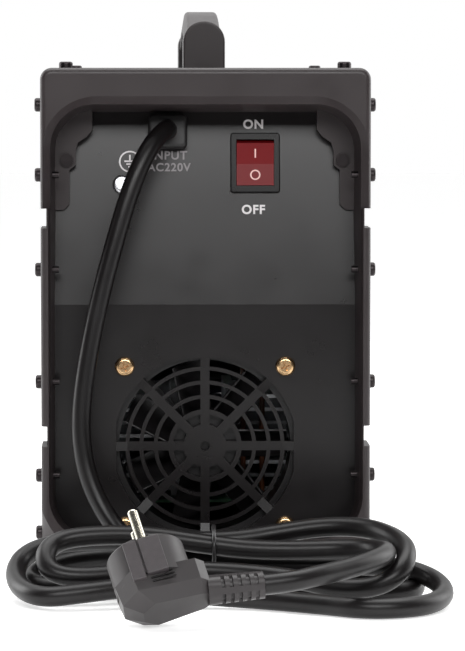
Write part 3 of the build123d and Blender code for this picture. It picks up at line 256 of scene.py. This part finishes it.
# the route's control points are in mm: first down the panel, then the turns on the floor
cord = {"diameter": 9.6 * mm, "length": 1.82, "order": 3, "steps": 10, "roundness": 8}
panelRun = [
    (-19.0, -131.5, 223.9), (-19.0, -142.4, 225.4), (-26.0, -151.5, 219.0), (-33.0, -157.5, 207.0),
    (-39.5, -161.0, 190.0), (-46.0, -163.5, 168.0), (-52.5, -165.5, 144.0), (-58.0, -167.5, 119.0),
    (-62.0, -169.5, 95.0), (-63.5, -171.5, 73.0), (-60.5, -174.0, 52.0), (-52.5, -178.5, 34.0),
    (-40.5, -186.0, 19.5), (-25.0, -196.0, 11.0), (-6.0, -207.0, 8.0), (13.0, -218.0, 7.5),
]
hankTurns = [
    # along the floor to the right and round
    (38, -222, 5.5), (64, -220, 5), (88, -226, 5), (101, -244, 5), (96, -262, 5), (76, -270, 5),
    # left along the floor and round the left end
    (44, -262, 5), (6, -252, 5), (-34, -250, 5), (-64, -256, 5), (-84, -247, 5.5), (-89, -226, 8),
    (-74, -211, 12), (-50, -211, 15), (-16, -226, 17), (16, -238, 15),
    # right, out to the lower right end and back along the front
    (50, -240, 14), (78, -244, 15), (97, -252, 14), (109, -264, 10), (111, -284, 6.5),
    (103, -304, 5), (88, -316, 5), (70, -318, 5), (52, -304, 5), (28, -289, 5), (-8, -281, 6.5),
    (-38, -279, 10),
    # front left, then up round the outermost left end
    (-60, -285, 8), (-80, -287, 6), (-91, -270, 8), (-94.5, -246, 13), (-89, -232, 20),
    (-72, -224, 24), (-46, -224, 25), (-16, -232, 25), (14, -234, 26),
    # the big upper turn on the right
    (34, -231, 29), (56, -229, 32), (76, -236, 32.5), (89, -254, 30), (94, -273, 26), (90, -286, 18),
    (79, -289, 11), (62, -284, 9), (40, -274, 13), (4, -262, 15), (-34, -262, 15), (-60, -270, 13),
    # the inner left turn, then the top strand to the right
    (-76, -270, 15), (-80, -262, 23), (-73, -253, 29), (-54, -250, 31), (-30, -246, 30),
    (-4, -246, 26), (20, -247, 23), (46, -249, 23), (66, -251, 24),
    # round the small right end and back to the plug
    (79, -261, 25), (84, -277, 26), (80, -295, 26), (70, -309, 24.5), (57, -321, 23.0),
    (46.0, -331, 22.1), (34.7, -337.0, 20.5), (22.8, -338.4, 19.5),
]


def makeCord():
    # one open quadratic NURBS through the route's control points
    curve = bpy.data.curves.new("mainsCord", "CURVE")
    curve.dimensions = "3D"
    spline = curve.splines.new("NURBS")
    points = np.array(panelRun + hankTurns) * mm
    spline.points.add(len(points) - 1)
    spline.points.foreach_set("co", np.column_stack([points, np.ones(len(points))]).ravel())
    spline.order_u = cord["order"]
    spline.use_endpoint_u = True
    spline.resolution_u = cord["steps"]
    curve.bevel_depth = cord["diameter"] / 2
    curve.bevel_resolution = cord["roundness"]
    curve.materials.append(materials["cordRubber"])
    piece = bpy.data.objects.new("mainsCordRun", curve)
    bpy.context.scene.collection.objects.link(piece)
    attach(piece, "machine")
    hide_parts("mains_cord", "cord_hank", "cord_tail")
    return piece


cordPiece = makeCord()
print("cord made")

# a ring of wire round the hank: the wire's radius, and steps around the ring and the wire
tie = {
    "centre": (2.0, -240.5, 24.0), "halfDepth": 12.8, "halfHeight": 9.6,
    "wire": 1.0, "ringSteps": 64, "wireSteps": 12,
}


def makeTie():
    # centre line is an ellipse in y and z, with a circle of the wire's radius around it
    around = np.linspace(0, 2 * np.pi, tie["ringSteps"], endpoint=False)
    section = np.linspace(0, 2 * np.pi, tie["wireSteps"], endpoint=False)
    a, s = np.meshgrid(around, section, indexing="ij")
    depth = (tie["halfDepth"] + tie["wire"] * np.cos(s)) * np.cos(a)
    height = (tie["halfHeight"] + tie["wire"] * np.cos(s)) * np.sin(a)
    across = tie["wire"] * np.sin(s)
    points = np.stack([across, depth, height], -1).reshape(-1, 3) + tie["centre"]
    faces = gridFaces(tie["ringSteps"], tie["wireSteps"])
    piece = newPiece("hankTie", points * mm, faces, materials["tieWire"], slotName="tie_plastic")
    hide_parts("cord_tie")
    return piece


tiePiece = makeTie()
print("tie made")

# the panel's upper part leans back from a foot line; lean in degrees, foot in mm
slope = {"lean": 8, "foot": (0, -136.0, 134.7)}
slopeFoot = Vector(slope["foot"]) * mm
lean = math.radians(slope["lean"])
slopeUp = Vector((0, math.sin(lean), math.cos(lean)))
slopeOut = Vector((0, -math.cos(lean), math.sin(lean)))

# print stands proud of its surface and starts a little inside it; mm
ink = {"proud": 0.12, "sunk": 0.05, "capShare": 0.72, "spacing": 1.12, "ringSteps": 48}


def slopePlace(x, z, lift=0.0):
    # a frame on the sloping panel at a height: x across, y up the slope, z out of it
    point = slopeFoot + slopeUp * ((z * mm - slopeFoot.z) / slopeUp.z) + slopeOut * lift * mm
    point.x = x * mm
    axes = Matrix((Vector((1, 0, 0)), slopeUp, slopeOut)).transposed().to_4x4()
    return Matrix.Translation(point) @ axes


def printText(name, text, place, capMm, weight, material):
    # raised print from the built-in face; size = capitals' height over their share of it
    curve = bpy.data.curves.new(name, "FONT")
    curve.body = text
    curve.align_x = "CENTER"
    curve.align_y = "CENTER"
    curve.size = capMm * mm / ink["capShare"]
    curve.space_character = ink["spacing"]
    curve.offset = weight * capMm * mm
    curve.extrude = ink["proud"] * mm
    letters = bpy.data.objects.new(name + "Curve", curve)
    bpy.context.scene.collection.objects.link(letters)
    bpy.context.view_layer.update()
    drawn = letters.evaluated_get(bpy.context.evaluated_depsgraph_get())
    mesh = bpy.data.meshes.new_from_object(drawn)
    mesh.name = name
    mesh.transform(place)
    bpy.data.objects.remove(letters)
    piece = bpy.data.objects.new(name, mesh)
    bpy.context.scene.collection.objects.link(piece)
    piece.data.materials.clear()
    piece.data.materials.append(material)
    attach(piece, "machine")


def printRing(name, place, radiusMm, widthMm, material, body="machine"):
    # flat ring: inner and outer circles at two levels, closed all round
    around = np.linspace(0, 2 * np.pi, ink["ringSteps"], endpoint=False)
    inner, outer = radiusMm - widthMm / 2, radiusMm + widthMm / 2
    low, high = -ink["sunk"], ink["proud"]
    profile = np.array([(inner, low), (inner, high), (outer, high), (outer, low)])
    a, k = np.meshgrid(around, np.arange(len(profile)), indexing="ij")
    radius, level = profile[k, 0], profile[k, 1]
    points = np.stack([radius * np.cos(a), radius * np.sin(a), level], -1).reshape(-1, 3)
    faces = gridFaces(len(around), len(profile))[:, ::-1]
    newPiece(name, intoFrame(points, place), faces, material, body, smooth=False)


def printBars(name, place, bars, material, body="machine"):
    # thin boxes given as centre x, centre y, width, height
    middle, thickness = (ink["proud"] - ink["sunk"]) / 2, ink["proud"] + ink["sunk"]
    boxes = [((x, y, middle), (w, h, thickness)) for x, y, w, h in bars]
    newPiece(name, *boxMesh(boxes, place), material, body, smooth=False)


# text, x and height on the panel, height of capitals, all in mm; stroke weight; finish
words = {
    "markOn": ("ON", 25.2, 226.6, 4.6, 0.045, "printWhite"),
    "markOff": ("OFF", 25.0, 182.9, 4.6, 0.045, "printWhite"),
    "markInput": ("INPUT", -18.4, 210.7, 4.4, 0.03, "printGrey"),
    "markSupply": ("AC220V", -18.3, 204.6, 4.2, 0.03, "printGrey"),
}
for name, (text, x, z, capMm, weight, finish) in words.items():
    printText(name, text, slopePlace(x, z), capMm, weight, materials[finish])

# the earth symbol: a ring with a stem and three shrinking bars
earth = {
    "x": -38.4, "z": 207.7, "radius": 5.2, "line": 0.8,
    "bars": [(0, 1.9, 0.8, 3.2), (0, 0.2, 5.6, 0.8), (0, -1.3, 3.6, 0.8), (0, -2.7, 1.6, 0.8)],
}
earthPlace = slopePlace(earth["x"], earth["z"])
printRing("earthRing", earthPlace, earth["radius"], earth["line"], materials["printWhite"])
printBars("earthBars", earthPlace, earth["bars"], materials["printWhite"])
print("panel marks made")

# I and O on the rocker's two facets; lengths in mm, angles in degrees
rocker = {
    "x": 26.0, "z": 207.0, "pivotDepth": 3.0, "halfTravel": 9.0, "facet": 5.28, "tilt": 9.0,
    "along": 5.6, "line": (0, 0, 0.7, 4.6), "ringRadius": 2.3, "ringWidth": 0.7,
}
pivotPlace = slopePlace(rocker["x"], rocker["z"], -rocker["pivotDepth"])


def facetPlace(side):
    # side is 1 for the upper facet and -1 for the lower one; resting at OFF the whole
    # rocker is turned by half its travel, and each facet slopes off the valley
    turned = pivotPlace @ Matrix.Rotation(math.radians(rocker["halfTravel"]), 4, "X")
    tilted = Matrix.Rotation(math.radians(rocker["tilt"] * side), 4, "X")
    valley = Matrix.Translation(Vector((0, 0, rocker["facet"])) * mm)
    middle = Matrix.Translation(Vector((0, rocker["along"] * side, 0)) * mm)
    return turned @ valley @ tilted @ middle


printBars("rockerLine", facetPlace(1), [rocker["line"]], materials["printRed"], "rocker")
printRing("rockerRing", facetPlace(-1), rocker["ringRadius"], rocker["ringWidth"],
          materials["printRed"], "rocker")
print("rocker marks made")

# the plug's own axes: x along the cable, y from pin to pin, z along the pins; each pad is
# a centre and a size in mm
plugDetail = {
    "origin": (-31.6, -327.6, 31.7), "cable": (0.97, 0.11, 0.255), "pins": (-0.27, 0.61, 0.75),
    "pads": [((-6.8, -16.4, -11.6), (6.2, 4.4, 20.0)), ((2.1, -16.4, -10.7), (10.0, 4.4, 18.6))],
    "padRounding": 0.4,
    "ridges": [(3.4, -15.9, -19.6), (3.8, -15.9, -21.4), (4.2, -15.9, -23.2)],
    "ridgeSize": (11.0, 0.9, 0.7), "ridgeRounding": 0.15, "bevelSteps": 2,
}


def plugPlace():
    # rotation and origin of the plug's frame, with the cable axis squared up to the pins
    pins = Vector(plugDetail["pins"]).normalized()
    cable = Vector(plugDetail["cable"])
    cable = (cable - cable.dot(pins) * pins).normalized()
    axes = Matrix((cable, pins.cross(cable), pins)).transposed().to_4x4()
    return Matrix.Translation(Vector(plugDetail["origin"]) * mm) @ axes


def plugBlocks(name, blocks, material, rounding):
    # plain boxes in the plug's frame, their edges rounded by a bevel
    points, faces = boxMesh(blocks, plugPlace())
    piece = newPiece(name, points, faces, material, slotName="plug_rubber", smooth=False)
    soften = piece.modifiers.new("soften", "BEVEL")
    soften.width = rounding * mm
    soften.segments = plugDetail["bevelSteps"]
    return piece


plugPads = plugBlocks("plugPads", plugDetail["pads"], materials["plugPad"],
                      plugDetail["padRounding"])
plugRidges = plugBlocks("plugRidges",
                        [(centre, plugDetail["ridgeSize"]) for centre in plugDetail["ridges"]],
                        materials["cordRubber"], plugDetail["ridgeRounding"])
print("plug details made")

# the floor reaches this far each way, in metres; in front of the near edge it turns from white
# to a painted grey shade over the fade, which dims what the panel reflects. The room's light
# falls from back to front between two directions
stage = {
    "reach": 8.0, "paintedShadeEdge": -0.46, "paintedShadeFade": 0.35, "glow": 0.52, "paintedShadeWhiteShare": 0.15,
    "paintedShadeGrey": "#5a5a5a", "whitePaper": "#f6f6f6", "roughness": 0.95, "specular": 0.1,
    "front": 0.05, "back": 1.0, "frontTurn": -0.25, "backTurn": 0.35,
}
floorMesh = bpy.data.meshes.new("floor")
half = stage["reach"]
floorCorners = [(-half, -half, 0), (half, -half, 0), (half, half, 0), (-half, half, 0)]
floorMesh.from_pydata(floorCorners, [], [(0, 1, 2, 3)])
floorObject = bpy.data.objects.new("floor", floorMesh)
bpy.context.scene.collection.objects.link(floorObject)


def makePaper():
    # white paper that glows a little; in front of the set it turns to a painted grey shade
    material = bpy.data.materials.new("palePaper")
    material.use_nodes = True
    tree = material.node_tree
    tree.nodes.clear()
    place = addNode(tree, "ShaderNodeTexCoord").outputs["Object"]
    depth = addNode(tree, "ShaderNodeSeparateXYZ", None, {"Vector": place}).outputs["Y"]
    white = addNode(tree, "ShaderNodeMapRange", {
        "From Min": stage["paintedShadeEdge"] - stage["paintedShadeFade"], "From Max": stage["paintedShadeEdge"],
        "To Min": stage["paintedShadeWhiteShare"], "To Max": 1.0,
    }, {"Value": depth}).outputs["Result"]
    paper = addNode(tree, "ShaderNodeMix", {"data_type": "RGBA"}, {"Factor": white})
    paper.inputs[6].default_value = linearColour(stage["paintedShadeGrey"])
    paper.inputs[7].default_value = linearColour(stage["whitePaper"])
    glow = addNode(tree, "ShaderNodeMath", {"operation": "MULTIPLY", 1: stage["glow"]}, {0: white})
    surface = addNode(tree, "ShaderNodeBsdfPrincipled", {
        "Roughness": stage["roughness"], "Specular IOR Level": stage["specular"],
        "Emission Color": (1, 1, 1, 1),
    }, {"Base Color": paper.outputs[2], "Emission Strength": glow.outputs[0]})
    addNode(tree, "ShaderNodeOutputMaterial", None, {"Surface": surface.outputs["BSDF"]})
    return material


floorMesh.materials.append(makePaper())

# the room is white behind and overhead, and dim in front of the set
world = bpy.data.worlds.new("studio")
bpy.context.scene.world = world
world.use_nodes = True
sky = world.node_tree
sky.nodes.clear()
toward = addNode(sky, "ShaderNodeTexCoord").outputs["Generated"]
axes = addNode(sky, "ShaderNodeSeparateXYZ", None, {"Vector": toward})
level = addNode(sky, "ShaderNodeMapRange", {
    "interpolation_type": "SMOOTHSTEP",
    "From Min": stage["frontTurn"], "From Max": stage["backTurn"],
    "To Min": stage["front"], "To Max": stage["back"],
}, {"Value": axes.outputs["Y"]}).outputs["Result"]
room = addNode(sky, "ShaderNodeBackground", {"Color": (1, 1, 1, 1)}, {"Strength": level})
addNode(sky, "ShaderNodeOutputWorld", None, {"Surface": room.outputs[0]})


def softbox(name, place, aim, size, power):
    # a rectangular light in metres and watts, turned to face its aim
    light = bpy.data.lights.new(name, "AREA")
    light.shape = "RECTANGLE"
    light.size, light.size_y = size
    light.energy = power
    lamp = bpy.data.objects.new(name, light)
    bpy.context.scene.collection.objects.link(lamp)
    lamp.location = place
    lamp.rotation_euler = (Vector(aim) - Vector(place)).to_track_quat("-Z", "Y").to_euler()


# place, aim, size and power
softboxes = {
    "overhead": ((0, 0.1, 1.5), (0, 0, 0), (1.6, 1.2), 20),
    "leftBox": ((-1.3, 0.5, 0.6), (0, 0, 0.12), (0.8, 1.0), 10),
    "rightBox": ((1.3, 0.5, 0.6), (0, 0, 0.12), (0.8, 1.0), 8),
    "frontHigh": ((0.1, -1.5, 0.85), (0, -0.1, 0.18), (1.3, 0.36), 14),
}
for name, settings in softboxes.items():
    softbox(name, *settings)
bpy.context.scene.view_settings.view_transform = "Standard"
print("lights made")
